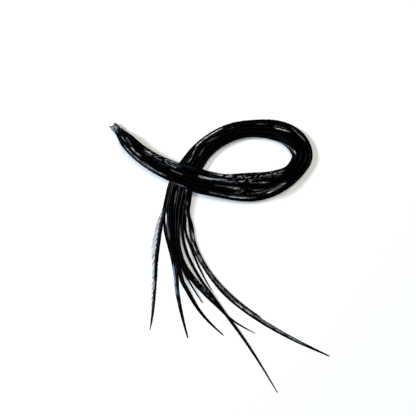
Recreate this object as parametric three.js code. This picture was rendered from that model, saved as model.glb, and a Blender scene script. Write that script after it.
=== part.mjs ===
import * as THREE from "three";
import { mergeVertices } from "three/addons/utils/BufferGeometryUtils.js";

// A bunch of sixteen black-dyed ostrich feathers, each trimmed to a narrow blade and tied together at the
// quill ends. It lies flat in one loop: the tied end crosses over the free ends, which fan out into points.
// Millimetres, +Z up, +Y towards the top of the loop, floor at Z = 0.

// Driving dimensions.
const GAP = 0.3; // air left between pieces that touch
const QUILL_WIDTH = 0.75; // bare shaft under the thread
const QUILL_HEIGHT = 0.75;
const BLADE_WIDTH = 2.1; // shaft with its trimmed barbs, through the loop
const TAIL_WIDTH = 3.0; // widest place, near the free end
const SHAFT_HEIGHT = 0.95; // height of the shaft through the loop
const TIP_HEIGHT = 0.4;
const RIDGE_SHARE = 0.3; // part of the blade's width that the shaft takes up on top
const BINDING_LENGTH = 5.2;
const BINDING_WALL = 0.5; // thread and glue round the quills
const BINDING_POINTS = 24; // round the binding
const BINDING_SQUARENESS = 5; // exponent of the rounded square
const THREAD_TURNS = 6;
const THREAD_RELIEF = 0.12; // depth of the hollow between two turns

// Where a feather changes along its length, from its quill end at 0 to its tip at 1.
const BLADE_GROWS = [0.01, 0.06]; // from the bare quill to the usual blade
const TAIL_GROWS = [0.55, 0.86];
const TIP_NARROWS = [0.86, 1.02];
const SHAFT_GROWS = [0.01, 0.12];
const SHAFT_THINS = [0.4, 1];
const LANES_CLOSE_IN = [0.03, 0.14]; // where the lanes make room for the blade, along the bunch's line

// How the feathers are laid.
const SETTLE_REACH = 13; // length over which a feather bends up to pass over another
const MOST_TURN = THREE.MathUtils.degToRad(9); // of a feather's route, between two of its sections
const LONGEST_STEP = 8;
const FINE_STEPS = 400; // that a curve is tried at, before its sections are picked
const PLACES_TRIED = [0, 0.25, 0.5, 0.75, 1]; // along each step of a route, when a feather is laid down
const CROSSING_SPAN = 90; // stretches of the route further apart than this only meet at the crossing
const LOOP_MIDDLE = 0.55; // place on the bunch's route, as a share of it, on the far side of the loop

// The bunch's middle line from the tied end round the loop to the crossing: x, y and half width.
const BUNCH = [
  [-74.6, 92.6, 2.1],
  [-70.7, 88.6, 2.1],
  [-65, 82, 4.3],
  [-57, 74.2, 5.4],
  [-47, 67.3, 6.2],
  [-35.6, 61.5, 7.1],
  [-24.5, 57.2, 7.8],
  [-14, 53.6, 8.2],
  [-4, 51.4, 8.2],
  [8.4, 49.8, 8.9],
  [21, 49.6, 9.7],
  [31, 50.7, 9.1],
  [40.6, 53.6, 7.8],
  [50.6, 59.6, 6.1],
  [57.6, 71, 6.8],
  [53.9, 80.8, 7.3],
  [45.4, 87.2, 7.1],
  [34.9, 90, 6.6],
  [25, 90.7, 5.9],
  [15.5, 89.9, 5.9],
  [5.8, 87.1, 6.3],
  [-4.1, 81.8, 6.5],
  [-12.8, 74.4, 7],
  [-18.8, 66.4, 7.7],
  [-23.5, 58.2, 8.4],
  [-27, 50.4, 8.8],
  [-28.8, 42.7, 9],
  [-30.2, 35, 9.2],
];

// Where the lanes of the feathers are named, as shares of the bunch's middle line: the run from the thread,
// the open slit past the crossing, the lower arc, the far bend, the top arc, its left end and the free end.
const LANE_MARKS = [0.11, 0.27, 0.36, 0.52, 0.68, 0.83, 1];

// Each feather, from the floor up: its column in the thread (0 is the loop's outer side), its lane across
// the bunch at each mark (-1 is the outer edge), its width against the usual one, how far its quill end
// sticks out of the thread, and the route of its free end.
const LAYERS = [
  [
    { column: 0, lanes: [-0.9, -0.95, -1, -1, -1, -1, -1], width: 1.1, stub: 0.3,
      tail: [[-41.6, 22.4], [-43.6, 9.1], [-45, -2.8], [-45.6, -15.4], [-46.3, -28], [-47.4, -40.6],
        [-49.2, -51.1]] },
    { column: 1, lanes: [-0.25, -0.4, -0.3, -0.35, -0.35, -0.4, -0.3], width: 0.8, stub: 0.5,
      tail: [[-33.2, 20], [-31.5, 8], [-29.4, -2]] },
    { column: 2, lanes: [0.37, 0.15, 0.3, 0.3, 0.3, 0.25, 0.2], width: 0.8, stub: 0.4,
      tail: [[-30, 20], [-28.8, 9], [-27.2, 1]] },
    { column: 3, lanes: [1, 0.75, 0.95, 1, 0.95, 0.9, 1], width: 1.08, stub: 0.3,
      tail: [[-20.6, 21], [-19.9, 14], [-17.2, 5.6], [-13, -2.8], [-4.8, -15.1], [4.6, -25.9], [18, -36.8],
        [35, -47.8], [53, -57.7], [77, -68.9]] },
  ],
  [
    { column: 0, lanes: [-1, -0.8, -0.75, -0.8, -0.85, -0.8, -0.85], width: 1.15, stub: 0.4,
      tail: [[-37.8, 20], [-36.2, 12.6], [-33.5, 2.8], [-31.6, -7], [-30.5, -16], [-29.8, -24],
        [-27.8, -35], [-25.2, -46], [-22.4, -56.4]] },
    { column: 1, lanes: [-0.44, -0.15, 0, -0.1, -0.3, -0.1, -0.25], width: 0.7, stub: 0.3,
      tail: [[-32.6, 20], [-31.5, 10], [-28.5, 0], [-24.5, -8.5], [-19.6, -15.4], [-11.4, -24.7],
        [-2.1, -33.6], [7, -42.2], [16.3, -48.3], [25.3, -53.1]] },
    { column: 2, lanes: [0.12, 0.22, 0.5, 0.5, 0.25, 0.4, 0.15], width: 0.75, stub: 0.5,
      tail: [[-30.6, 18], [-29.4, 8], [-26.8, -2]] },
    { column: 3, lanes: [0.7, 1, 0.8, 0.9, 0.8, 0.95, 0.95], width: 0.7, stub: 0.4,
      tail: [[-19.4, 21], [-18.6, 14], [-15.9, 5.6], [-11.8, -2.8], [-3.4, -14.8], [5.4, -24],
        [16.6, -33.4], [28.6, -41.6]] },
  ],
  [
    { column: 0, lanes: [-0.7, -1, -0.9, -0.65, -0.95, -0.9, -0.55], width: 1, stub: 0.3,
      tail: [[-34.2, 20], [-32.4, 11.2], [-30.4, 1], [-28.4, -8], [-26.4, -16], [-22.2, -23.8],
        [-17.4, -32.4], [-11.4, -40.6], [-3.3, -49], [2.7, -54.3]] },
    { column: 1, lanes: [-0.12, -0.6, -0.45, 0, -0.2, -0.45, -0.1], width: 0.65, stub: 0.5,
      tail: [[-31.8, 20], [-31, 10], [-29, 0], [-26.2, -7], [-22, -15.4], [-17, -24], [-12, -31.8]] },
    { column: 2, lanes: [0.45, 0, 0.15, 0.6, 0.4, 0.1, 0.45], width: 0.62, stub: 0.4,
      tail: [[-26.4, 20], [-25.7, 13], [-23.6, 5], [-20.2, -3], [-17.6, -8], [-12.2, -17], [-4.2, -27.7],
        [4.9, -40.6], [11.2, -49], [17.2, -57.4], [22.8, -65.8], [28.2, -74.2], [33.3, -82.6],
        [40.6, -94.9]] },
    { column: 3, lanes: [1, 0.85, 1, 1, 1, 0.7, 0.8], width: 0.6, stub: 0.3,
      tail: [[-24.2, 20], [-22.4, 13.5], [-19.4, 5.6], [-16.4, -2.8], [-14, -7.5], [-10.2, -15.4],
        [-5, -23.5]] },
  ],
  [
    { column: 0, lanes: [-0.85, -0.7, -0.6, -0.95, -0.7, -0.65, -0.7], width: 0.75, stub: 1.7, splay: -0.7,
      tail: [[-35.6, 20], [-34.2, 13], [-32, 4], [-30.2, -4], [-29.2, -11.5]] },
    { column: 1, lanes: [-0.28, -0.28, -0.15, -0.45, -0.1, -0.05, -0.05], width: 0.85, stub: 0.3,
      tail: [[-31, 20], [-30.6, 12], [-28.6, 2], [-25.2, -6.5], [-18.5, -15.4], [-9, -25],
        [0.7, -35.4]] },
    { column: 2, lanes: [0.28, 0.12, 0.4, 0.2, 0.45, 0.45, 0.25], width: 0.85, stub: 0.4,
      tail: [[-29.2, 20], [-29.2, 13], [-27.6, 4], [-24.6, -4.2], [-20, -11], [-12.8, -19.5],
        [-5.4, -27.7]] },
    { column: 3, lanes: [0.84, 0.95, 0.7, 0.8, 1, 1, 0.6], width: 0.8, stub: 1.2,
      tail: [[-26.4, 20], [-25.4, 12], [-23.2, 4], [-19.6, -4.5], [-15.5, -11.5]] },
  ],
];
const COLUMNS = 4;

const BLACK_FEATHER = new THREE.MeshStandardMaterial({ color: 0x0c0d11, roughness: 0.38, metalness: 0 });
const GLUED_THREAD = new THREE.MeshStandardMaterial({ color: 0x8b8d92, roughness: 0.6, metalness: 0 });

const smooth = THREE.MathUtils.smoothstep;
const lerp = THREE.MathUtils.lerp;

// Places along a curve, close together where it turns and further apart where it runs straight.
function sections(pointAt) {
  const fine = Array.from({ length: FINE_STEPS + 1 }, (_, i) => pointAt(i / FINE_STEPS));
  const kept = [0];
  let turned = 0;
  let travelled = 0;
  for (let i = 1; i < FINE_STEPS; i++) {
    const before = fine[i].clone().sub(fine[i - 1]);
    const after = fine[i + 1].clone().sub(fine[i]);
    turned += Math.abs(Math.atan2(before.cross(after), before.dot(after)));
    travelled += after.length();
    if (turned > MOST_TURN || travelled > LONGEST_STEP) {
      kept.push(i);
      turned = 0;
      travelled = 0;
    }
  }
  kept.push(FINE_STEPS);
  return kept.map((i) => i / FINE_STEPS);
}

const flat = (p) => new THREE.Vector2(p.x, p.y);
const spline = (points) =>
  new THREE.CatmullRomCurve3(points.map(([x, y, z = 0]) => new THREE.Vector3(x, y, z)));

// The bunch's sections: middle, sideways direction to the left of the way it runs, and half width. The
// first two are at the ends of the binding.
const bunchCurve = spline(BUNCH);
const outOfThread = 1 / (BUNCH.length - 1);
const bunchPlaces = sections((t) => flat(bunchCurve.getPoint(lerp(outOfThread, 1, t))));
const bunchSections = [0, ...bunchPlaces.map((t) => lerp(outOfThread, 1, t))].map((t) => {
  const point = bunchCurve.getPoint(t);
  const ahead = flat(bunchCurve.getTangent(t)).normalize();
  return { share: t, middle: flat(point), side: new THREE.Vector2(-ahead.y, ahead.x), half: point.z };
});
bunchSections.forEach((section, i) => {
  const before = bunchSections[i - 1];
  section.along = before ? before.along + before.middle.distanceTo(section.middle) : 0;
});

// How far across the bunch a feather lies: in its column under the thread, and then in its lanes.
function laneOf({ column, lanes }) {
  const inThread = (2 * column) / (COLUMNS - 1) - 1;
  const marks = [0, outOfThread, ...LANE_MARKS];
  const places = [inThread, inThread, ...lanes];
  return (share) => {
    const k = Math.max(1, marks.findIndex((mark) => mark >= share - 1e-9));
    return lerp(places[k - 1], places[k], smooth(share, marks[k - 1], marks[k]));
  };
}

function bladeWidth(feather, share) {
  const inBunch = lerp(QUILL_WIDTH, BLADE_WIDTH, smooth(share, ...BLADE_GROWS));
  const full = lerp(inBunch, TAIL_WIDTH * feather.width, smooth(share, ...TAIL_GROWS));
  return full * Math.sqrt(1 - smooth(share, ...TIP_NARROWS));
}

function shaftHeight(share) {
  const inBunch = lerp(QUILL_HEIGHT, SHAFT_HEIGHT, smooth(share, ...SHAFT_GROWS));
  return lerp(inBunch, TIP_HEIGHT, smooth(share, ...SHAFT_THINS));
}

// A feather's stations on the floor plan, from its quill end to its tip. Its free end goes on from the last
// two sections of the bunch, so that the two join without a kink.
function floorPlan(feather, layer) {
  const lane = laneOf(feather);
  const across = bunchSections.map(({ share, middle, side, half }) => {
    const reach = half - lerp(QUILL_WIDTH, BLADE_WIDTH, smooth(share, ...LANES_CLOSE_IN)) / 2;
    return middle.clone().addScaledVector(side, reach * lane(share));
  });
  const quill = across[0].clone().sub(across[1]).setLength(feather.stub);
  quill.addScaledVector(bunchSections[0].side, feather.splay ?? 0).add(across[0]);
  const lead = across.slice(-3).map((p) => [p.x, p.y]);
  const tailCurve = spline([...lead, ...feather.tail]);
  const start = (lead.length - 1) / (lead.length + feather.tail.length - 1);
  const tailPoint = (t) => flat(tailCurve.getPoint(lerp(start, 1, t)));
  const tail = sections(tailPoint).slice(1).map(tailPoint);
  const points = [quill, ...across, ...tail];

  const grown = [0];
  for (let i = 1; i < points.length; i++) {
    grown.push(grown[i - 1] + points[i].distanceTo(points[i - 1]));
  }
  const free = grown[across.length];
  return points.map((point, i) => {
    const ahead = (points[i + 1] ?? point).clone().sub(points[i - 1] ?? point).normalize();
    const share = grown[i] / grown.at(-1);
    const section = bunchSections[Math.max(i - 1, 0)] ?? bunchSections.at(-1);
    return {
      point,
      side: new THREE.Vector2(-ahead.y, ahead.x),
      along: section.along + Math.max(grown[i] - free, 0),
      width: bladeWidth(feather, share),
      height: shaftHeight(share),
      inBinding: i <= 2,
      bottom: BINDING_WALL + GAP + layer * (QUILL_HEIGHT + GAP),
    };
  });
}

const feathers = LAYERS.flatMap((row, layer) =>
  row.map((feather) => ({ stations: floorPlan(feather, layer) })),
);

// A place on a feather's route between two neighbouring stations.
const between = (a, b, t) => ({
  point: a.point.clone().lerp(b.point, t),
  along: lerp(a.along, b.along, t),
  width: lerp(a.width, b.width, t),
  top: lerp(a.bottom + a.height, b.bottom + b.height, t),
});

// How high a feather has to pass at one place to clear everything that lies below it there.
function clearance(place, index) {
  let needed = 0;
  feathers.forEach(({ stations }, otherIndex) => {
    for (let k = 1; k < stations.length; k++) {
      const a = stations[k - 1];
      const b = stations[k];
      if (!a.settled || !b.settled) continue;
      if (a.point.distanceTo(place.point) > LONGEST_STEP + 2 * TAIL_WIDTH) continue;
      const apart = b.along - place.along;
      const isBelow = Math.abs(apart) < CROSSING_SPAN ? otherIndex < index : apart > 0;
      if (!isBelow) continue;
      const run = b.point.clone().sub(a.point);
      const share = place.point.clone().sub(a.point).dot(run) / run.lengthSq();
      const under = between(a, b, THREE.MathUtils.clamp(share, 0, 1));
      const distance = under.point.distanceTo(place.point);
      if (distance < (place.width + under.width) / 2 + GAP) needed = Math.max(needed, under.top + GAP);
    }
  });
  return needed;
}

// Each feather in turn is laid on what is already there between these places along the bunch: it passes
// over the highest thing near by, and bends up and down to that height gently.
function settle(from, to) {
  feathers.forEach(({ stations }, index) => {
    const steps = stations.slice(1).map((b, k) => {
      if (b.along < from || stations[k].along > to) return b.needed ?? 0;
      return Math.max(...PLACES_TRIED.map((t) => clearance(between(stations[k], b, t), index)));
    });
    const highest = stations.map(({ along }) => {
      const isNear = (_, k) =>
        stations[k + 1].along >= along - SETTLE_REACH && stations[k].along <= along + SETTLE_REACH;
      return Math.max(...steps.filter(isNear));
    });
    stations.forEach((station, i) => {
      station.needed = steps[i - 1];
      if (station.along < from || station.along > to) return;
      station.settled = true;
      if (station.inBinding) return;
      const isNear = (_, k) => Math.abs(stations[k].along - station.along) <= SETTLE_REACH;
      const near = highest.filter(isNear);
      station.bottom = near.reduce((sum, h) => sum + h, 0) / near.length;
    });
  });
}

// The free half of the bunch lies on the floor, and the tied half comes back over it.
const farSide = bunchSections.at(-1).along * LOOP_MIDDLE;
settle(farSide - 3 * SETTLE_REACH, Infinity);
settle(0, farSide);

// One feather: flat underneath, sloping from the shaft's ridge down to the barbs' trimmed edges.
function featherGeometry(stations) {
  const corners = [];
  stations.slice(0, -1).forEach(({ point, side, width, height, bottom }) => {
    const ridge = width * RIDGE_SHARE;
    for (const [across, up] of [[-width, 0], [width, 0], [ridge, height], [-ridge, height]]) {
      corners.push(point.x + (side.x * across) / 2, point.y + (side.y * across) / 2, bottom + up);
    }
  });
  const tip = stations.at(-1);
  corners.push(tip.point.x, tip.point.y, tip.bottom);
  const faces = [0, 2, 1, 0, 3, 2];
  const rings = stations.length - 1;
  for (let ring = 1; ring < rings; ring++) {
    for (let side = 0; side < 4; side++) {
      const a = 4 * (ring - 1) + side;
      const b = 4 * (ring - 1) + ((side + 1) % 4);
      faces.push(a, b, b + 4, a, b + 4, a + 4);
    }
  }
  const last = 4 * (rings - 1);
  for (let side = 0; side < 4; side++) faces.push(last + side, last + ((side + 1) % 4), 4 * rings);
  const geometry = new THREE.BufferGeometry();
  geometry.setAttribute("position", new THREE.Float32BufferAttribute(corners, 3));
  geometry.setIndex(faces);
  return geometry;
}

// The binding: turns of glued thread round the square of quills, open at both ends where they pass.
function bindingGeometry() {
  const start = bunchSections[0].middle;
  const ahead = bunchSections[1].middle.clone().sub(start).normalize();
  const side = new THREE.Vector2(-ahead.y, ahead.x);
  const inside = feathers.flatMap(({ stations }) => stations.slice(1, 3));
  const reach = Math.max(...inside.map((s) =>
    Math.abs(s.point.clone().sub(start).dot(side)) + s.width / 2));
  const low = Math.min(...inside.map((s) => s.bottom));
  const high = Math.max(...inside.map((s) => s.bottom + s.height));
  const middle = (low + high) / 2;
  const turned = Array.from({ length: BINDING_POINTS }, (_, k) => (2 * Math.PI * k) / BINDING_POINTS);
  const bend = (v) => Math.sign(v) * Math.abs(v) ** (2 / BINDING_SQUARENESS);
  const ring = (along, grow) => turned.map((angle) => {
    const across = bend(Math.cos(angle)) * (reach + GAP + grow);
    const up = bend(Math.sin(angle)) * ((high - low) / 2 + GAP + grow);
    const foot = start.clone().addScaledVector(ahead, along).addScaledVector(side, across);
    return [foot.x, foot.y, middle + up];
  });
  const rings = [ring(0, 0)];
  for (let k = 0; k <= 2 * THREAD_TURNS; k++) {
    const along = (BINDING_LENGTH * k) / (2 * THREAD_TURNS);
    rings.push(ring(along, BINDING_WALL - (k % 2 ? 0 : THREAD_RELIEF)));
  }
  rings.push(ring(BINDING_LENGTH, 0));
  const faces = [];
  rings.forEach((_, r) => {
    const here = r * BINDING_POINTS;
    const next = ((r + 1) % rings.length) * BINDING_POINTS;
    for (let k = 0; k < BINDING_POINTS; k++) {
      const m = (k + 1) % BINDING_POINTS;
      faces.push(here + k, here + m, next + m);
      faces.push(here + k, next + m, next + k);
    }
  });
  const geometry = new THREE.BufferGeometry();
  geometry.setAttribute("position", new THREE.Float32BufferAttribute(rings.flat(2), 3));
  geometry.setIndex(faces);
  return mergeVertices(geometry);
}

const bunch = new THREE.Group();
feathers.forEach(({ stations }, i) => {
  const mesh = new THREE.Mesh(featherGeometry(stations), BLACK_FEATHER);
  mesh.name = `feather_${String(i + 1).padStart(2, "0")}`;
  bunch.add(mesh);
});
const binding = new THREE.Mesh(bindingGeometry(), GLUED_THREAD);
binding.name = "thread_binding";
bunch.add(binding);

// The origin is on the floor, under the middle of the bunch's box.
const box = new THREE.Box3().setFromObject(bunch);
const centre = box.getCenter(new THREE.Vector3());
for (const mesh of bunch.children) {
  mesh.geometry.translate(-centre.x, -centre.y, -box.min.z);
  mesh.geometry.computeVertexNormals();
}

export default bunch;
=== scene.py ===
import math

import bmesh
import bpy
import numpy as np
from mathutils import Matrix, Vector, noise


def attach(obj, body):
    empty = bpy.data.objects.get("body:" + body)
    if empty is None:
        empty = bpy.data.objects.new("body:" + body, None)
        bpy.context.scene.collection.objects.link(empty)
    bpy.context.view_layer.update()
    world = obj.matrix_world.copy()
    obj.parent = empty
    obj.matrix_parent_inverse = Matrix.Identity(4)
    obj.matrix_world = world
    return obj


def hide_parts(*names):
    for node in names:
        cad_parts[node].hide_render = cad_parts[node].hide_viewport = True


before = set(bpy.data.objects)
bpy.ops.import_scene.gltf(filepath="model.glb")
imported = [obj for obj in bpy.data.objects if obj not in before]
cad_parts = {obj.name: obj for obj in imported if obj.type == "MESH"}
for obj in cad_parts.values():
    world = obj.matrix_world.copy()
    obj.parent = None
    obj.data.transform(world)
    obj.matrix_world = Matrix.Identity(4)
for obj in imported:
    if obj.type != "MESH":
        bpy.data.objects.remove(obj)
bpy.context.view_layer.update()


# The sixteen feathers are ostrich wing quills, dyed black. Each shaft is keratin, oval in section and
# glossy, and tapers from a cut quill end to a hair-fine tip. It is one drawn-out tube, laid along the line
# of the feather's own solid.
MM = 0.001
SHAFT_SIDES = 10
SHAFT_STEP = 1.6 * MM
SHAFT_SHARE = 0.34  # of the blade's width
SECTION_CORNERS = 4  # of the feather's solid
SAME_POINT = 0.001 * MM
QUILL_CUT = 1.6 * MM  # length of the slanting cut at the quill end
CUT_EDGE = 0.1  # share of the height that the cut leaves at the very end
BARE_LENGTH = 4 * MM  # of the quill end without barbs; over as much again it thins
BARE_QUILL = 0.66 * MM  # half width there
THIN_QUILL = 0.32 * MM  # half width where it has thinned
TIP_RADIUS = 0.06 * MM
FINEST_SHAFT = 0.28 * MM  # half width, up to the point
POINT_LENGTH = 2 * MM
POINT_SHARE = 0.3  # of the finest half width, at the very tip
GROOVE_DEPTH = 0.3  # of the shaft's height, along the middle of its upper side
GROOVE_WIDTH = 0.2  # of the shaft's width
HEADING_REACH = 0.4 * MM  # how far before and after a place its direction is read


def feather_line(node):
    """A solid's rows of distance, x, y, half width, underside and height, from quill end to tip."""
    solid = bmesh.new()
    solid.from_mesh(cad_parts[node].data)
    bmesh.ops.remove_doubles(solid, verts=solid.verts, dist=SAME_POINT)
    solid.verts.index_update()
    for tip in [v for v in solid.verts if len(v.link_edges) == SECTION_CORNERS]:
        rings, seen = [[tip]], {tip}
        while rings[-1]:
            beyond = {e.other_vert(v) for v in rings[-1] for e in v.link_edges} - seen
            seen |= beyond
            rings.append(sorted(beyond, key=lambda v: v.index))
        rings.pop()
        if all(len(ring) == SECTION_CORNERS for ring in rings[1:]):
            break
    rows = []
    for ring in reversed(rings):
        corners = sorted((v.co.copy() for v in ring), key=lambda co: co.z)
        middle = sum(corners, Vector()) / len(corners)
        half = (corners[0] - corners[1]).xy.length / 2 if len(corners) > 1 else TIP_RADIUS
        height = corners[-1].z - corners[0].z if len(corners) > 1 else 3 * TIP_RADIUS
        gone = rows[-1][0] + (middle.xy - Vector(rows[-1][1:3])).length if rows else 0.0
        rows.append([gone, middle.x, middle.y, half, corners[0].z, height])
    solid.free()
    return np.array(rows)


def smooth_along(line, places):
    """The line's x and y at these distances, on a smooth curve, and its half width, underside and height."""
    grown, values = line[:, 0], line[:, 1:3]
    slopes = np.gradient(values, grown, axis=0)
    inside = np.clip(places, 0, grown[-1])
    k = np.clip(np.searchsorted(grown, inside) - 1, 0, len(grown) - 2)
    step = (grown[k + 1] - grown[k])[:, None]
    t = (inside - grown[k])[:, None] / step
    held = (1 + 2 * t) * (1 - t) ** 2 * values[k] + t * t * (3 - 2 * t) * values[k + 1]
    bent = t * (1 - t) ** 2 * slopes[k] - t * t * (1 - t) * slopes[k + 1]
    return np.column_stack([held + step * bent] + [np.interp(inside, grown, line[:, i]) for i in (3, 4, 5)])


def heading(line, places):
    """The direction of growth at these distances, as unit vectors on the floor plan."""
    before = smooth_along(line, np.clip(places - HEADING_REACH, 0, line[-1, 0]))
    after = smooth_along(line, np.clip(places + HEADING_REACH, 0, line[-1, 0]))
    run = (after - before)[:, :2]
    return run / np.linalg.norm(run, axis=1)[:, None]


def straight_tube(sides, steps):
    """A closed tube along X, one unit between its rings, radius one."""
    bm = bmesh.new()
    turn = Matrix.Rotation(math.pi / 2, 4, "Y")
    bmesh.ops.create_circle(bm, segments=sides, radius=1, matrix=turn)
    bmesh.ops.spin(bm, geom=bm.verts[:] + bm.edges[:], axis=(1, 0, 0), dvec=(1, 0, 0), angle=0, steps=steps)
    bmesh.ops.holes_fill(bm, edges=bm.edges, sides=sides)
    bmesh.ops.recalc_face_normals(bm, faces=bm.faces)
    return bm


def as_mesh(bm, name):
    """Turns a finished bmesh into a mesh."""
    mesh = bpy.data.meshes.new(name)
    bm.to_mesh(mesh)
    bm.free()
    return mesh


def coordinates(mesh):
    """The mesh's points as rows of x, y, z."""
    flat = np.empty(len(mesh.vertices) * 3, np.float32)
    mesh.vertices.foreach_get("co", flat)
    return flat.reshape(-1, 3).astype(float)


def put_coordinates(mesh, points):
    """Moves the mesh's points to these rows of x, y, z."""
    mesh.vertices.foreach_set("co", np.asarray(points, np.float32).ravel())
    mesh.update()


MOST_TONE = 1.5
STROKE_FADE = 0.5  # how much weaker a stroke is at its ends


def put_tones(mesh, wear_and_highlight=0.0, smooth=0.0):
    """Keeps each point's pale tone (wear and painted highlights) and blue tone (dye cast and painted sheen)
    for the materials.
    """
    for name, amount in (("wear_and_highlight", wear_and_highlight), ("smooth", smooth)):
        values = np.broadcast_to(np.clip(amount, 0, MOST_TONE), len(mesh.vertices)).astype(np.float32)
        mesh.attributes.new(name, "FLOAT", "POINT").data.foreach_set("value", values)


def near(points, strokes, width):
    """How near each point is to any of these strokes, which run from x, y to x, y and have a strength."""
    total = np.zeros(len(points))
    for x0, y0, x1, y1, strength in strokes:
        first, run = np.array([x0, y0]) * MM, np.array([x1 - x0, y1 - y0]) * MM
        share = np.clip((points[:, :2] - first) @ run / (run @ run), 0, 1)
        far = np.linalg.norm(points[:, :2] - first - share[:, None] * run, axis=1)
        fading = 1 - STROKE_FADE * (2 * share - 1) ** 4
        total = np.maximum(total, strength * fading * np.exp(-(far / width) ** 2))
    return total


# Painted highlights: pale strokes where light glints on shafts and barbs, some for bright gaps between
# strands:
# lines from x, y to x, y in millimetres, and how pale.
PAINTED_HIGHLIGHTS = [
    # the tied end
    (-68.8, 84.2, -65.2, 80.3, 0.6), (-65.2, 83.4, -61.5, 77.8, 0.7), (-66.6, 78, -61.7, 71.9, 0.75),
    (-61.7, 71.9, -54.7, 66.1, 0.9), (-54.7, 66.1, -47.8, 61.1, 0.8), (-46.3, 73.4, -37, 69.2, 1.3),
    (-37, 69.2, -27.8, 66.1, 1), (-33.9, 68.4, -28.6, 65.6, 0.8), (-47.8, 61.1, -39.3, 57.2, 0.6),
    (-61.2, 76.5, -58.9, 73, 1), (-58.9, 73, -54.7, 70.3, 1), (-53.5, 66.5, -44, 59.5, 0.65),
    (-44, 59.5, -37, 56.5, 0.65), (-51.7, 74.2, -46.3, 71.1, 0.8), (-36.7, 67.7, -29, 64.9, 0.9),
    (-33.9, 52.3, -23.2, 48.4, 0.8), (-33.9, 60.7, -26.2, 57.2, 0.6),
    # round the loop
    (-22.4, 65.7, -19.2, 69.6, 1), (-14.7, 69.6, -10.8, 75.7, 0.7), (-19.2, 70.5, -16.2, 76.5, 0.6),
    (-17.1, 76.8, -11, 82.6, 0.9), (-11, 82.6, -7.1, 84.9, 1), (-7.1, 84.9, 2.1, 89.9, 1),
    (-9.4, 79.6, -1.7, 84.1, 0.7), (5.9, 88.7, 9.8, 90.3, 0.5), (26, 93, 32.9, 92.2, 0.5),
    (38.3, 90.3, 49.1, 87.3, 1), (50.6, 90.1, 59.8, 81, 0.9), (41.4, 80.6, 47.9, 77.1, 0.9),
    (47.9, 77.1, 53.3, 71.9, 1.3),
    # the loop's lower side
    (-14, 56.5, -1.7, 53.7, 3.5), (-14.5, 55.9, -5.5, 53.9, 3.5), (-1.7, 53.7, 9, 52.3, 1.4),
    (-3.3, 50.2, 5.9, 48.8, 0.7), (5.9, 48.8, 13.6, 47.9, 1.4), (-7.1, 44.9, 5.9, 42.5, 0.8),
    (5.9, 42.5, 19.9, 41.4, 1.3), (19.9, 41.4, 26.2, 41.8, 0.7), (30.6, 45.6, 38.9, 48.1, 1.6),
    (38.9, 48.1, 46.8, 51.8, 1.9), (33.5, 44.6, 44.7, 50.2, 1.3), (27.5, 51.8, 31.4, 51.4, 0.8),
    # the tail
    (-30.1, 46, -31.5, 37.6, 0.9), (-22.7, 39, -22.4, 36.2, 0.8), (-23.4, 32.7, -22, 24.3, 1),
    (-22.7, 23.6, -19.9, 11, 1), (-19.9, 11, -16, 3, 1.2), (-16, 3, -11.5, -5, 1),
    (-20.5, 20, -17.5, 10, 0.8), (-11.5, -5, -10.2, -6.9, 0.5), (-10.4, -7.2, -3.4, -16.5, 0.8),
    (-37.3, 30.6, -36.6, 21, 1.5), (-36.6, 21, -35.1, 12.4, 1.3), (-3.4, -16.5, 3.7, -24.3, 0.9),
    (3.7, -24.3, 10.7, -30.8, 1.1), (10.7, -30.8, 17.7, -36.3, 1.5), (17.7, -36.3, 24.7, -41.2, 1.4),
    (24.7, -41.2, 38.7, -49.8, 1.2), (38.7, -49.8, 45.7, -53.8, 0.95), (45.7, -53.8, 60.3, -61.9, 0.7),
    (26.6, -67.4, 30.1, -72.6, 0.6), (-45.5, -16.3, -46.2, -23.3, 0.9), (-46.5, -28.2, -47.2, -37.3, 0.5),
]
SHAFT_HIGHLIGHT_WIDTH = 0.95 * MM  # on shafts
STREAK_WIDTH = 0.25 * MM  # on barbs
WORN_SHAFT = 0.3  # most of the light wear all along a shaft
WORN_MARKS = 60


def shaft_mesh(name, line, draws):
    """One shaft: a straight tube laid along the feather's line."""
    end = line[-1, 0]
    steps = int(end / SHAFT_STEP)
    mesh = as_mesh(straight_tube(SHAFT_SIDES, steps), name)
    points = coordinates(mesh)
    places = points[:, 0] / steps * end
    at = smooth_along(line, places)
    ahead = heading(line, places)
    side = np.stack([-ahead[:, 1], ahead[:, 0]], 1)
    cut = np.clip(places / QUILL_CUT, CUT_EDGE, 1)
    stout = THIN_QUILL + (BARE_QUILL - THIN_QUILL) * np.clip(2 - places / BARE_LENGTH, 0, 1)
    stout *= places < 2 * BARE_LENGTH
    finest = FINEST_SHAFT * np.clip((end - places) / POINT_LENGTH, POINT_SHARE, 1)
    half = np.maximum.reduce([at[:, 2] * SHAFT_SHARE, finest, stout]) * np.sqrt(cut)
    up, across = -points[:, 2], points[:, 1]
    groove = 1 - GROOVE_DEPTH * np.clip(up, 0, 1) * (np.abs(across) < GROOVE_WIDTH)
    rise = at[:, 4] / 2
    z = at[:, 3] + rise + rise * up * groove * np.where(up > 0, cut, 1)
    xy = at[:, :2] + side * (across * half)[:, None]
    put_coordinates(mesh, np.column_stack([xy, z]))
    marks = np.interp(places, np.linspace(0, end, WORN_MARKS), draws.random(WORN_MARKS))
    paleness = WORN_SHAFT * marks * (places > 2 * QUILL_CUT)
    # The painted highlight strokes lie on the shaft's top, its crest, where light from above glints; the
    # light wear along the shaft varies at random.
    crest = np.clip(up, 0, 1) ** 2
    put_tones(mesh, wear_and_highlight=paleness + near(xy, PAINTED_HIGHLIGHTS, SHAFT_HIGHLIGHT_WIDTH) * crest)
    return mesh


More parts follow.
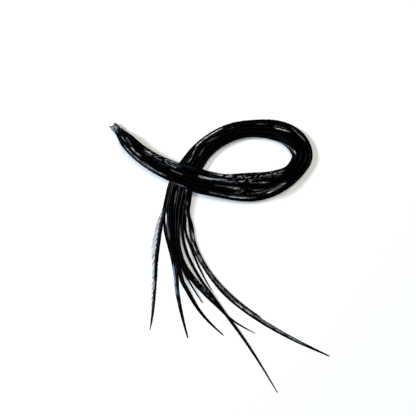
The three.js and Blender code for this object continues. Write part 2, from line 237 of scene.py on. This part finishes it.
# The barbs grow in one row from each side of a shaft and are trimmed to a narrow blade. They are thin, limp
# and a little flattened, lie forward along the shaft and cling together in small locks over a dark mat of
# barbules. Each row is combed out straight first, as three-sided hairs, and then laid along the line.
FIRST_BARB = 6.2 * MM  # from the quill end
BARB_PITCH = 0.4 * MM  # a little wider than on a real quill, so that single barbs show
BARB_LEVELS = 3
COMBED_RADIUS = 0.3  # of a hair in the combed row, where hairs are one unit apart
BARB_ROOT = 0.26 * MM  # thickness
BARB_END = 0.17 * MM
BARB_LEAN = 19  # degrees from the shaft
LEAN_OF_LOCK, LEAN_OF_BARB = 4, 2.5  # degrees by which it varies
TWIST_OF_LOCK, TWIST_OF_BARB = 15, 20
ROOT_VARIES = 0.3  # of the pitch
ROOT_INSIDE = 0.8  # of the shaft's half width, where barbs start
TRIM_OF_LOCK, TRIM_SHORT, TRIM_LONG = 0.02, 0.03, 0.04  # how evenly they are cut, of the blade's half width
ROOT_HEIGHT, END_HEIGHT, ARCH = 0.5, 0.2, 0.22  # of the blade's height
LIFT_OF_LOCK, LIFT_OF_BARB = 0.14, 0.08
BARB_CURVE = 1.2  # barbs bend forward: how far along they are goes with this power of how far out
BARB_FLATNESS = 0.45  # of their thickness
LEAST_REACH = 0.02 * MM
MOST_FORWARD = 0.95  # of the way to the tip
ABOVE_FLOOR = 0.02 * MM
LOCK = 5  # barbs that cling together
PALE_LOCK = 2
CLUMP = 5  # barbs that hang together where they are untrimmed
CLUMPING = 0.6  # how closely
MAT_SHARE = 0.94  # of the blade's width
MAT_SIDES = 8
MAT_MIDDLE, MAT_HALF = 0.25, 0.18  # heights, as shares of the blade's
SOFT_MAT = 0.55  # share of the mat beside untrimmed barbs
BUNCH_SPREAD = 0.25 * MM  # how far barbs reach over their neighbours inside the bunch
BUNCHED_HALF = 1.15 * MM  # least half width of a blade there
BUNCH_END, BUNCH_FADE = 0.62, 0.1  # shares of its length: where a feather is free, and how gradually
BUNCH_START, BUNCH_RISE = 0.004, 0.012


def combed_row(count):
    """Closed three-sided hairs along Y from 0 to 1, one unit apart along X."""
    bm = bmesh.new()
    turn = Matrix.Rotation(math.pi / 2, 4, "X")
    bmesh.ops.create_circle(bm, segments=3, radius=COMBED_RADIUS, matrix=turn)
    bmesh.ops.spin(bm, geom=bm.verts[:] + bm.edges[:], axis=(0, 1, 0), dvec=(0, 1 / BARB_LEVELS, 0),
                   angle=0, steps=BARB_LEVELS)
    bmesh.ops.holes_fill(bm, edges=bm.edges, sides=3)
    bmesh.ops.recalc_face_normals(bm, faces=bm.faces)
    hairs = 1
    while hairs < count:
        copied = bmesh.ops.duplicate(bm, geom=bm.verts[:] + bm.edges[:] + bm.faces[:])["geom"]
        moved = [part for part in copied if isinstance(part, bmesh.types.BMVert)]
        bmesh.ops.translate(bm, verts=moved, vec=(hairs, 0, 0))
        hairs *= 2
    spare = [v for v in bm.verts if v.co.x > count - 0.5]
    bmesh.ops.delete(bm, geom=spare, context="VERTS")
    return bm


def locks(draws, count, size):
    """A random value from -1 to 1 for each barb, alike within a lock."""
    marks = np.arange(0, count + 2 * size, size)
    return np.interp(np.arange(count), marks, draws.uniform(-1, 1, len(marks)))


# Painted sheen: where the barbs are coloured navy to blue-grey, a painted reflection of the cool lamp.
PAINTED_SHEEN = [
    (-27.6, 64.2, -15, 61, 0.75), (38.1, 85.9, 49.4, 79.6, 0.6), (-59.1, 72.6, -54.2, 69.1, 0.8),
    (-43.2, 64.9, -37, 64.2, 0.65), (-67.5, 76.8, -55.6, 64.9, 0.7), (-55.6, 64.9, -41.6, 56.5, 0.5),
    (-34, 4, -32.6, -3, 0.8), (-32.2, -5.1, -30.8, -19.8, 1.9), (-30.8, -19.8, -29.4, -27.3, 1.7),
    (-29.2, -29, -28, -35, 0.9), (-45.5, -3.7, -47.2, -24.7, 1.4), (-15, -21.7, -11.2, -25.7, 0.8),
]
SHEEN_WIDTH = 1.5 * MM
SHEEN_STRENGTH = 0.65  # strength of these places
SHEEN = 0.15  # blue cast all over, and how much it varies
CAST_PATCH = 30  # barbs

# Painted highlights: where some locks get pale dashes, standing for glints across the dark ones.
HIGHLIGHT_DASHES = [
    (-4.8, 57.5, 21.4, 55.4, 0.85), (21.4, 55.8, 44.4, 58.9, 0.65), (10, 53.2, 25, 52.6, 0.7),
    (26.9, 52.3, 32.5, 51.9, 0.6), (12, 45.3, 30, 45.8, 0.5), (-43, 69.1, -29, 63.8, 0.8),
    (-16.4, -14.2, -5.2, -29.6, 0.5), (-51.7, 74.2, -44.4, 70.1, 0.6),
]
HIGHLIGHT_DASH_WIDTH = 1.5 * MM
PALE_SHARE = 0.26  # of the locks there
DASH = 0.35  # of a barb's length
STREAK, STREAK_VARIES = 0.3, 0.25  # how much of the painted highlight strokes shows on barbs, as pale colour
GLEAM, GLEAM_FROM = 0.5, 0.8  # a painted gleam: pale colour where the painted sheen is strongest


def blade_half(line, places):
    """The blade's half width: the solid's, and a little more where barbs lie over their neighbours."""
    solid = smooth_along(line, places)[:, 2]
    share = places / line[-1, 0]
    inside = np.clip((BUNCH_END - share) / BUNCH_FADE, 0, 1)
    inside *= np.clip((share - BUNCH_START) / BUNCH_RISE, 0, 1)
    return np.maximum(solid, BUNCHED_HALF * inside * (share > BUNCH_RISE)) + BUNCH_SPREAD * inside


def mat_mesh(name, line, soft_hand=0, soft_span=(0, 1)):
    """The mat of barbules: a thin flat lens under the barbs, narrower beside the soft ones."""
    end = line[-1, 0]
    steps = int((end - FIRST_BARB) / SHAFT_STEP)
    mesh = as_mesh(straight_tube(MAT_SIDES, steps), name)
    points = coordinates(mesh)
    places = FIRST_BARB + points[:, 0] / steps * (end - FIRST_BARB)
    at = smooth_along(line, places)
    ahead = heading(line, places)
    side = np.stack([-ahead[:, 1], ahead[:, 0]], 1)
    half = blade_half(line, places) * MAT_SHARE
    if soft_hand:
        inside = (places / end > soft_span[0]) & (places / end < soft_span[1])
        half *= np.where(inside & (points[:, 1] * soft_hand > 0), SOFT_MAT, 1)
    z = at[:, 3] + at[:, 4] * (MAT_MIDDLE - MAT_HALF * points[:, 2])
    put_coordinates(mesh, np.column_stack([at[:, :2] + side * (points[:, 1] * half)[:, None], z]))
    put_tones(mesh)
    return mesh


BARE_TIP = 0.8 * MM  # of the shaft, past the last barb
# How much further untrimmed barbs reach, from the first of them to the last, as a share of the longest.
SOFT_PLACES, SOFT_REACHES = [0, 0.15, 0.32, 0.48, 1], [0.4, 1, 0.9, 0.4, 0.2]


def row_mesh(name, line, draws, hand, span=(0, 1), lean=BARB_LEAN, pitch=BARB_PITCH, trimmed=1.0, fine=1.0,
             soft=0.0, blue=0.0):
    """One row of barbs on the left (hand 1) or right (hand -1) side of a feather, along a span of it."""
    end = line[-1, 0]
    first = max(FIRST_BARB, span[0] * end)
    last = min(end - BARE_TIP, span[1] * end)
    count = int((last - first) / pitch)
    mesh = as_mesh(combed_row(count), name)
    points = coordinates(mesh)
    barb = np.rint(points[:, 0]).astype(int)
    out = np.clip(points[:, 1], 0, 1)
    across, through = (points[:, 0] - barb) / COMBED_RADIUS, points[:, 2] / COMBED_RADIUS

    order = np.arange(count) + draws.uniform(-ROOT_VARIES, ROOT_VARIES, count)
    if soft:
        order += CLUMPING * (np.arange(count) // CLUMP * CLUMP + CLUMP // 2 - order)
    root = first + order * pitch
    at_root = smooth_along(line, root)
    leaning = LEAN_OF_LOCK * locks(draws, count, LOCK) + draws.uniform(-LEAN_OF_BARB, LEAN_OF_BARB, count)
    angle = np.radians(lean + leaning)
    start = at_root[:, 2] * SHAFT_SHARE * ROOT_INSIDE
    trim = trimmed + TRIM_OF_LOCK * locks(draws, count, 2 * LOCK)
    trim += draws.uniform(-TRIM_SHORT, TRIM_LONG, count)
    swell = np.interp(np.linspace(0, 1, count), SOFT_PLACES, SOFT_REACHES)
    long = soft * (1 + draws.random(count)) / 2 * swell
    reach = np.maximum(blade_half(line, root) * trim + long - start, LEAST_REACH)
    forward = np.minimum(reach / np.tan(angle), MOST_FORWARD * (end - root))
    tip_half = blade_half(line, root + forward)
    reach = np.maximum(np.minimum(reach, tip_half * trim + long - start), LEAST_REACH)

    places = root[barb] + forward[barb] * out ** BARB_CURVE
    at = smooth_along(line, places)
    ahead = heading(line, places)
    side = np.stack([-ahead[:, 1], ahead[:, 0]], 1) * hand
    middle = at[:, :2] + side * (start[barb] + reach[barb] * out)[:, None]
    gaining = BARB_CURVE * np.maximum(out, 0.05) ** (BARB_CURVE - 1)
    run = ahead * (forward[barb] * gaining)[:, None] + side * reach[barb][:, None]
    run /= np.linalg.norm(run, axis=1)[:, None]
    beside = np.stack([-run[:, 1], run[:, 0]], 1)
    twisting = TWIST_OF_LOCK * locks(draws, count, LOCK)
    twist = np.radians(twisting + draws.uniform(-TWIST_OF_BARB, TWIST_OF_BARB, count))[barb]
    thick = fine * (BARB_ROOT + (BARB_END - BARB_ROOT) * out)
    flat_u = across * np.cos(twist) - BARB_FLATNESS * through * np.sin(twist)
    flat_v = across * np.sin(twist) + BARB_FLATNESS * through * np.cos(twist)
    lifting = LIFT_OF_LOCK * locks(draws, count, LOCK)
    lift = (lifting + draws.uniform(-LIFT_OF_BARB, LIFT_OF_BARB, count))[barb]
    rise = ROOT_HEIGHT * (1 - out) + (END_HEIGHT + lift) * out + ARCH * np.sin(math.pi * out)
    z = at[:, 3] + at[:, 4] * rise + thick * flat_v
    xy = middle + beside * (thick * flat_u)[:, None]
    put_coordinates(mesh, np.column_stack([xy, np.maximum(z, ABOVE_FLOOR)]))
    # The smooth tone is the dye's faint blue cast, varied at random, plus the painted sheen at the listed
    # places.
    varied = locks(draws, count, LOCK)[barb] * locks(draws, count, CAST_PATCH)[barb]
    smooth = blue + SHEEN + SHEEN * varied + SHEEN_STRENGTH * near(xy, PAINTED_SHEEN, SHEEN_WIDTH)
    # Painted highlights on barbs: pale dashes on some locks, pale streaks along the highlight strokes, and a
    # pale gleam where the painted sheen is strongest.
    pale, place = (np.repeat(draws.random(count // PALE_LOCK + 1), PALE_LOCK)[barb] for _ in range(2))
    dashes = (pale > 1 - PALE_SHARE) * np.exp(-((out - place) / DASH) ** 2)
    dash_highlights = dashes * near(xy, HIGHLIGHT_DASHES, HIGHLIGHT_DASH_WIDTH)
    streak_highlights = STREAK + STREAK_VARIES * locks(draws, count, PALE_LOCK)[barb]
    streak_highlights *= near(xy, PAINTED_HIGHLIGHTS, STREAK_WIDTH)
    gleam_highlights = GLEAM * np.clip(smooth - GLEAM_FROM, 0, 1)
    put_tones(mesh, wear_and_highlight=dash_highlights + streak_highlights + gleam_highlights, smooth=smooth)
    return mesh


def linear(hex_colour):
    """An sRGB hex colour as linear RGBA."""
    parts = [int(hex_colour[i:i + 2], 16) / 255 for i in (1, 3, 5)]
    return [p / 12.92 if p <= 0.04045 else ((p + 0.055) / 1.055) ** 2.4 for p in parts] + [1.0]


def add(tree, kind, settings=None, **sockets):
    """Adds a node, sets what it is given, and links each socket that is given another node's output."""
    node = tree.nodes.new(kind)
    for key, value in (settings or {}).items():
        setattr(node, key, value)
    for key, value in sockets.items():
        name = key.replace("_", " ")
        socket = node.inputs[int(key[1:])] if key[1:].isdigit() else node.inputs[name]
        if isinstance(value, bpy.types.NodeSocket):
            tree.links.new(value, socket)
        else:
            socket.default_value = value
    return node


def new_material(name):
    """An empty node material and its tree."""
    material = bpy.data.materials.new(name)
    material.use_nodes = True
    material.node_tree.nodes.clear()
    return material, material.node_tree


def ramp(tree, factor, stops):
    """A colour ramp through these (place, hex colour) stops."""
    node = add(tree, "ShaderNodeValToRGB", Fac=factor)
    elements = node.color_ramp.elements
    while len(elements) < len(stops):
        elements.new(0.5)
    for element, (place, colour) in zip(elements, stops):
        element.position = place
        element.color = linear(colour)
    return node.outputs["Color"]


# Keratin shaft, dyed black and polished by handling: a clear dark gloss, with light wear at random, and grey
# to white painted highlights along its top in places.
# Scuffs come every 1.6 mm or so, and the fibres are 0.25 mm apart.
keratin, tree = new_material("dyed_keratin_shaft")
where = add(tree, "ShaderNodeTexCoord").outputs["Object"]
wear_and_highlight = add(tree, "ShaderNodeAttribute", {"attribute_name": "wear_and_highlight"}).outputs["Fac"]
scuffs = add(tree, "ShaderNodeTexNoise", Vector=where, Scale=1 / (1.6 * MM), Detail=4.0).outputs["Fac"]
uneven = add(tree, "ShaderNodeMapRange", Value=scuffs, From_Min=0.35, From_Max=0.6, To_Min=0.68).outputs[0]
paleness = add(tree, "ShaderNodeMath", {"operation": "MULTIPLY"}, i0=wear_and_highlight, i1=uneven).outputs[0]
# Light wear stays at the black stop; the grey to white stops are painted highlights.
colour = ramp(tree, paleness, [(0.3, "#020203"), (0.45, "#15161a"), (0.65, "#74787f"), (0.9, "#ffffff")])
fibres = add(tree, "ShaderNodeTexNoise", Vector=where, Scale=1 / (0.25 * MM), Detail=3.0).outputs["Fac"]
relief = add(tree, "ShaderNodeBump", Height=fibres, Strength=0.2, Distance=0.05 * MM).outputs[0]
gloss = add(tree, "ShaderNodeMapRange", Value=scuffs, To_Min=0.16, To_Max=0.36).outputs[0]
shine = add(tree, "ShaderNodeMapRange", Value=paleness, To_Min=0.06, To_Max=0.5).outputs[0]
shader = add(tree, "ShaderNodeBsdfPrincipled", Base_Color=colour, Roughness=gloss, Normal=relief, IOR=1.54,
             Specular_IOR_Level=shine)
add(tree, "ShaderNodeOutputMaterial", Surface=shader.outputs[0])

# Barb keratin, dyed black with a cold blue cast: satin, with a painted navy to blue-grey sheen in places, in
# patches of about 2 mm, and painted pale highlights. Barbules are drawn 0.2 mm apart, coarser than they are,
# so that they show.
barb_black, tree = new_material("dyed_barbs")
where = add(tree, "ShaderNodeTexCoord").outputs["Object"]
smooth = add(tree, "ShaderNodeAttribute", {"attribute_name": "smooth"}).outputs["Fac"]
wear_and_highlight = add(tree, "ShaderNodeAttribute", {"attribute_name": "wear_and_highlight"}).outputs["Fac"]
patches = add(tree, "ShaderNodeTexNoise", Vector=where, Scale=1 / (2 * MM), Detail=3.0).outputs["Fac"]
uneven = add(tree, "ShaderNodeMath", {"operation": "ADD"}, i0=patches, i1=0.5).outputs[0]
mixed = add(tree, "ShaderNodeMath", {"operation": "MULTIPLY"}, i0=smooth, i1=uneven).outputs[0]
# Navy to blue-grey stops: reached where the painted sheen lies, and on the bluer untrimmed barbs.
dyed = ramp(tree, mixed, [(0.2, "#010102"), (0.4, "#040507"), (0.65, "#141e32"), (0.95, "#5a6c88")])
# Pale colour mixed in: painted highlights on the barbs.
highlighted = add(tree, "ShaderNodeMix", {"data_type": "RGBA"}, i0=wear_and_highlight, A=dyed, B=linear("#e2e5ea"))
barbules = add(tree, "ShaderNodeTexNoise", Vector=where, Scale=1 / (0.2 * MM), Detail=2.0).outputs["Fac"]
relief = add(tree, "ShaderNodeBump", Height=barbules, Strength=0.4, Distance=0.05 * MM).outputs[0]
shader = add(tree, "ShaderNodeBsdfPrincipled", Base_Color=highlighted.outputs["Result"], Roughness=0.5,
             Normal=relief, IOR=1.54, Specular_IOR_Level=0.01)
add(tree, "ShaderNodeOutputMaterial", Surface=shader.outputs[0])

# Barbules, dyed black: a mat of fine down that swallows the light.
barbule_mat, tree = new_material("dyed_barbule_mat")
where = add(tree, "ShaderNodeTexCoord").outputs["Object"]
down = add(tree, "ShaderNodeTexNoise", Vector=where, Scale=1 / (0.3 * MM), Detail=3.0).outputs["Fac"]
colour = ramp(tree, down, [(0.3, "#010101"), (0.7, "#060709")])
relief = add(tree, "ShaderNodeBump", Height=down, Strength=0.6, Distance=0.08 * MM).outputs[0]
shader = add(tree, "ShaderNodeBsdfPrincipled", Base_Color=colour, Roughness=0.9, Normal=relief,
             Specular_IOR_Level=0.01)
add(tree, "ShaderNodeOutputMaterial", Surface=shader.outputs[0])


def join_parts(name, parts):
    """One object of these (mesh, material) parts, with smooth faces."""
    bm = bmesh.new()
    materials = []
    for mesh, material in parts:
        if material not in materials:
            materials.append(material)
        known = len(bm.faces)
        bm.from_mesh(mesh)
        bm.faces.ensure_lookup_table()
        for face in bm.faces[known:]:
            face.material_index = materials.index(material)
            face.smooth = True
        bpy.data.meshes.remove(mesh)
    joined = bpy.data.objects.new(name, as_mesh(bm, name))
    for material in materials:
        joined.data.materials.append(material)
    bpy.context.scene.collection.objects.link(joined)
    return joined


# Two feathers have untrimmed barbs: on which side, along which part, how much further the barbs reach, how
# blue they are, and how far the trimmed ones still reach beside them.
SOFT_BARBS = {
    "feather_01": (-1, (0.785, 0.945), 2.9 * MM, 0.9, 0.62),
    "feather_16": (-1, (0.13, 0.19), 1.6 * MM, 0.0, 1.0),
}
SOFT_LEAN, SOFT_PITCH, SOFT_FINENESS = 20, 0.75 * MM, 0.5
FEATHERS = 16
FIRST_SEED = 1000
for number in range(1, FEATHERS + 1):
    node = f"feather_{number:02d}"
    line = feather_line(node)
    draws = np.random.default_rng(FIRST_SEED + number)
    soft_hand, soft_span, soft_reach, blue_cast, short = SOFT_BARBS.get(node, (0, (0, 1), 0, 0, 1))
    parts = [
        (shaft_mesh(node + "_shaft", line, draws), keratin),
        (mat_mesh(node + "_mat", line, soft_hand, soft_span), barbule_mat),
    ]
    for hand in (1, -1):
        if hand == soft_hand and short < 1:
            spans = [((0, soft_span[0]), 1.0), (soft_span, short), ((soft_span[1], 1), 1.0)]
        else:
            spans = [((0, 1), 1.0)]
        for span, trimmed in spans:
            parts.append((row_mesh(node + "_row", line, draws, hand, span, trimmed=trimmed), barb_black))
    if soft_hand:
        soft_row = row_mesh(node + "_soft", line, draws, soft_hand, soft_span, lean=SOFT_LEAN,
                            pitch=SOFT_PITCH, fine=SOFT_FINENESS, soft=soft_reach, blue=blue_cast)
        parts.append((soft_row, barb_black))
    plume = join_parts(node + "_plume", parts)
    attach(plume, "root")
    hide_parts(node)


# The binding holds the quill ends: turns of grey cotton thread wound round them and soaked in clear glue,
# which has dried in lumps, with black thread at the feathers' side and a short loose end.
BINDING_START = Vector((-74.25, 91.67, 0)) * MM
BINDING_AHEAD = Vector((0.698, -0.716, 0)).normalized()
GLUED_LENGTH = 3.9 * MM
BINDING_HALF_WIDTH = 2.55 * MM
BINDING_HALF_HEIGHT = 2.35 * MM
BINDING_MIDDLE = 2.75 * MM
THREAD_RADIUS = 0.3 * MM
END_THREAD_RADIUS = 0.36 * MM
THREAD_SIDES = 7
TURN_STEPS = 36
SQUARENESS = 4  # exponent of the rounded square that the quills make
SLANT = 0.35  # how far the feathers' end of the binding slants
SPIN_RADIUS = 10 * MM  # a wide ring, which is then drawn in to the quills
LUMP_SPACING, LUMP_DEPTH, WANDER = 0.9 * MM, 0.12 * MM, 0.25 * MM  # of the turns
GLUE_CUTS = 13
GLUE_SPACING, GLUE_DEPTH, GLUE_WANDER = 1.1 * MM, 0.28 * MM, 0.3 * MM
GLUE_SPREAD = 5 * MM
LOOSE_START = (-68.9 * MM, 90.1 * MM, 3.6 * MM)
LOOSE_RUN = (3.2 * MM, -1.0 * MM, -3.2 * MM)
LOOSE_WAVE = 0.25 * MM
LOOSE_RADIUS = 0.2 * MM  # and half of that at its end
LOOSE_SIDES, LOOSE_STEPS = 6, 12

binding_place = Matrix.Translation(BINDING_START + Vector((0, 0, BINDING_MIDDLE))) @ Matrix((
    (BINDING_AHEAD.x, -BINDING_AHEAD.y, 0, 0),
    (BINDING_AHEAD.y, BINDING_AHEAD.x, 0, 0),
    (0, 0, 1, 0),
    (0, 0, 0, 1),
))


def rounded_square(angle):
    """How far the outside of the quills is from the binding's axis, in this direction."""
    across = abs(math.cos(angle) / BINDING_HALF_WIDTH) ** SQUARENESS
    up = abs(math.sin(angle) / BINDING_HALF_HEIGHT) ** SQUARENESS
    return (across + up) ** (-1 / SQUARENESS)


def thread_turns(name, first, last, turns, radius):
    """Turns of thread: a ring spun round the axis as it moves along, pressed to the rounded square."""
    bm = bmesh.new()
    at = Matrix.Translation((first, SPIN_RADIUS, 0))
    bmesh.ops.create_circle(bm, segments=THREAD_SIDES, radius=radius, matrix=at)
    steps = turns * TURN_STEPS
    bmesh.ops.spin(bm, geom=bm.verts[:] + bm.edges[:], axis=(1, 0, 0), cent=(0, 0, 0),
                   dvec=((last - first) / steps, 0, 0), angle=2 * math.pi * turns, steps=steps)
    bmesh.ops.holes_fill(bm, edges=bm.edges, sides=THREAD_SIDES)
    bmesh.ops.recalc_face_normals(bm, faces=bm.faces)
    for v in bm.verts:
        angle = math.atan2(v.co.z, v.co.y)
        lump = noise.noise(v.co / LUMP_SPACING) * LUMP_DEPTH
        radial = rounded_square(angle) + math.hypot(v.co.y, v.co.z) - SPIN_RADIUS + lump
        v.co.x += noise.noise(Vector((v.co.x / MM, 2 * math.cos(angle), 2 * math.sin(angle)))) * WANDER
        v.co.y, v.co.z = radial * math.cos(angle), radial * math.sin(angle)
        v.co.x -= SLANT * v.co.y * v.co.x / GLUED_LENGTH
    bmesh.ops.transform(bm, matrix=binding_place, verts=bm.verts)
    return as_mesh(bm, name)


def glue_mesh(name):
    """The dried glue: a lumpy sleeve over the quills, that the turns of thread half sink into."""
    bm = bmesh.new()
    bmesh.ops.create_cube(bm, size=1)
    bmesh.ops.subdivide_edges(bm, edges=bm.edges[:], cuts=GLUE_CUTS, use_grid_fill=True)
    for v in bm.verts:
        x = (v.co.x + 0.5) * GLUED_LENGTH
        angle = math.atan2(v.co.z, v.co.y)
        share = 2 * max(abs(v.co.y), abs(v.co.z))
        radial = rounded_square(angle) * share
        spread = Vector((x, v.co.y * GLUE_SPREAD, v.co.z * GLUE_SPREAD)) / GLUE_SPACING
        lump = noise.fractal(spread, 1.0, 2.0, 3)
        radial += GLUE_DEPTH * lump * share
        x += GLUE_WANDER * lump - SLANT * radial * math.cos(angle) * x / GLUED_LENGTH
        v.co = Vector((x, radial * math.cos(angle), radial * math.sin(angle)))
    bmesh.ops.smooth_vert(bm, verts=bm.verts, factor=0.4,
                          use_axis_x=True, use_axis_y=True, use_axis_z=True)
    bmesh.ops.transform(bm, matrix=binding_place, verts=bm.verts)
    return as_mesh(bm, name)


def loose_end_mesh(name):
    """The short loose end of the thread."""
    mesh = as_mesh(straight_tube(LOOSE_SIDES, LOOSE_STEPS), name)
    points = coordinates(mesh)
    t = points[:, 0] / LOOSE_STEPS
    x = LOOSE_START[0] + LOOSE_RUN[0] * t
    y = LOOSE_START[1] + LOOSE_RUN[1] * t + LOOSE_WAVE * np.sin(5 * t)
    z = LOOSE_START[2] + LOOSE_RUN[2] * t ** 1.5
    thin = LOOSE_RADIUS * (1 - t / 2)
    put_coordinates(mesh, np.column_stack([x, y + points[:, 1] * thin, z + points[:, 2] * thin]))
    return mesh


# Cotton thread soaked in clear glue: matt grey fibres, 0.18 mm apart, mottled in patches of about 1.3 mm. On
# the glued thread and the glue the mottle runs from near black to near white: painted crease shade and
# painted glints, laid at random, not on the real lumps. The loose end has no glue on it and is a duller
# grey.
def thread_material(name, stops, roughness):
    """Thread or glue, mottled through these (place, hex colour) stops."""
    material, tree = new_material(name)
    where = add(tree, "ShaderNodeTexCoord").outputs["Object"]
    lumps = add(tree, "ShaderNodeTexNoise", Vector=where, Scale=1 / (1.3 * MM), Detail=5.0).outputs["Fac"]
    colour = ramp(tree, lumps, stops)
    fibres = add(tree, "ShaderNodeTexNoise", Vector=where, Scale=1 / (0.18 * MM), Detail=3.0).outputs["Fac"]
    relief = add(tree, "ShaderNodeBump", Height=fibres, Strength=0.6, Distance=0.08 * MM).outputs[0]
    shader = add(tree, "ShaderNodeBsdfPrincipled", Base_Color=colour, Roughness=roughness, Normal=relief)
    add(tree, "ShaderNodeOutputMaterial", Surface=shader.outputs[0])
    return material


# The near-black and near-white stops of the glued thread and glue are painted crease shade and painted
# glints.
glued_thread = thread_material(
    "glued_grey_cotton", [(0.4, "#121317"), (0.5, "#66666c"), (0.65, "#aeaeb2")], 0.55)
dried_glue = thread_material(
    "dried_clear_glue", [(0.42, "#17181c"), (0.5, "#77777b"), (0.64, "#cfcfd3")], 0.25)
black_thread = thread_material("glued_black_cotton", [(0.3, "#030304"), (0.8, "#101114")], 0.5)
loose_thread = thread_material("loose_grey_cotton", [(0.3, "#2c2a26"), (0.7, "#5a574f")], 0.8)
binding = join_parts("thread_binding_wound", [
    (thread_turns("turns", 0.3 * MM, 3.5 * MM, 6, THREAD_RADIUS), glued_thread),
    (glue_mesh("glue"), dried_glue),
    (thread_turns("end_turns", 3.7 * MM, 5.3 * MM, 4, END_THREAD_RADIUS), black_thread),
    (loose_end_mesh("loose_end"), loose_thread),
])
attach(binding, "root")
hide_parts("thread_binding")


# The floor is a plain white sheet of paper. Three soft lamps light it, a cool one at the left, a warm one at
# the top and a faint one overhead, and the camera looks straight down on the whole loop.
FLOOR_HALF = 3
FLOOR_GAP = 0.1 * MM  # below the underside of the bunch
bm = bmesh.new()
bmesh.ops.create_grid(bm, x_segments=1, y_segments=1, size=FLOOR_HALF)
bmesh.ops.translate(bm, verts=bm.verts, vec=(0, 0, -FLOOR_GAP))
floor = bpy.data.objects.new("floor", as_mesh(bm, "floor"))
bpy.context.scene.collection.objects.link(floor)
paper, tree = new_material("matt_white_paper")
shader = add(tree, "ShaderNodeBsdfPrincipled", Base_Color=linear("#f0f0f0"), Roughness=0.9,
             Specular_IOR_Level=0.0, Emission_Color=linear("#e8f4ff"), Emission_Strength=0.16)
add(tree, "ShaderNodeOutputMaterial", Surface=shader.outputs[0])
floor.data.materials.append(paper)


def lamp(name, place, size, power, colour, glossy=True):
    """A square soft lamp that looks at the middle of the bunch, with or without highlights."""
    data = bpy.data.lights.new(name, "AREA")
    data.size = size
    data.energy = power
    data.color = linear(colour)[:3]
    lamp_object = bpy.data.objects.new(name, data)
    lamp_object.location = place
    lamp_object.rotation_euler = (-Vector(place)).to_track_quat("-Z", "Y").to_euler()
    lamp_object.visible_glossy = glossy
    bpy.context.scene.collection.objects.link(lamp_object)


lamp("cool_key", (-1.4, 0.4, 1.35), 0.5, 37, "#e0f0ff")
lamp("warm_second", (0.1, 0.65, 1.9), 0.6, 19, "#ffefd8", glossy=False)
lamp("overhead_panel", (0.1, -0.1, 2.2), 0.5, 2.0, "#ffffff")

world = bpy.data.worlds.new("white_room")
bpy.context.scene.world = world
world.use_nodes = True
world.node_tree.nodes["Background"].inputs["Color"].default_value = linear("#e8f2ff")
world.node_tree.nodes["Background"].inputs["Strength"].default_value = 0.12

PHOTO_WIDTH = 291.2 * MM  # the width that the frame takes in
CAMERA_X, CAMERA_Y = -8.05 * MM, 34.07 * MM
LENS, SENSOR = 200, 36  # in millimetres: a long lens, because the photograph shows hardly any perspective
camera_data = bpy.data.cameras.new("camera")
camera_data.lens = LENS
camera_data.sensor_width = SENSOR
camera = bpy.data.objects.new("camera", camera_data)
camera.location = (CAMERA_X, CAMERA_Y, PHOTO_WIDTH * LENS / SENSOR)
camera_data.clip_end = 10
bpy.context.scene.collection.objects.link(camera)
bpy.context.scene.camera = camera
bpy.context.scene.view_settings.view_transform = "Standard"
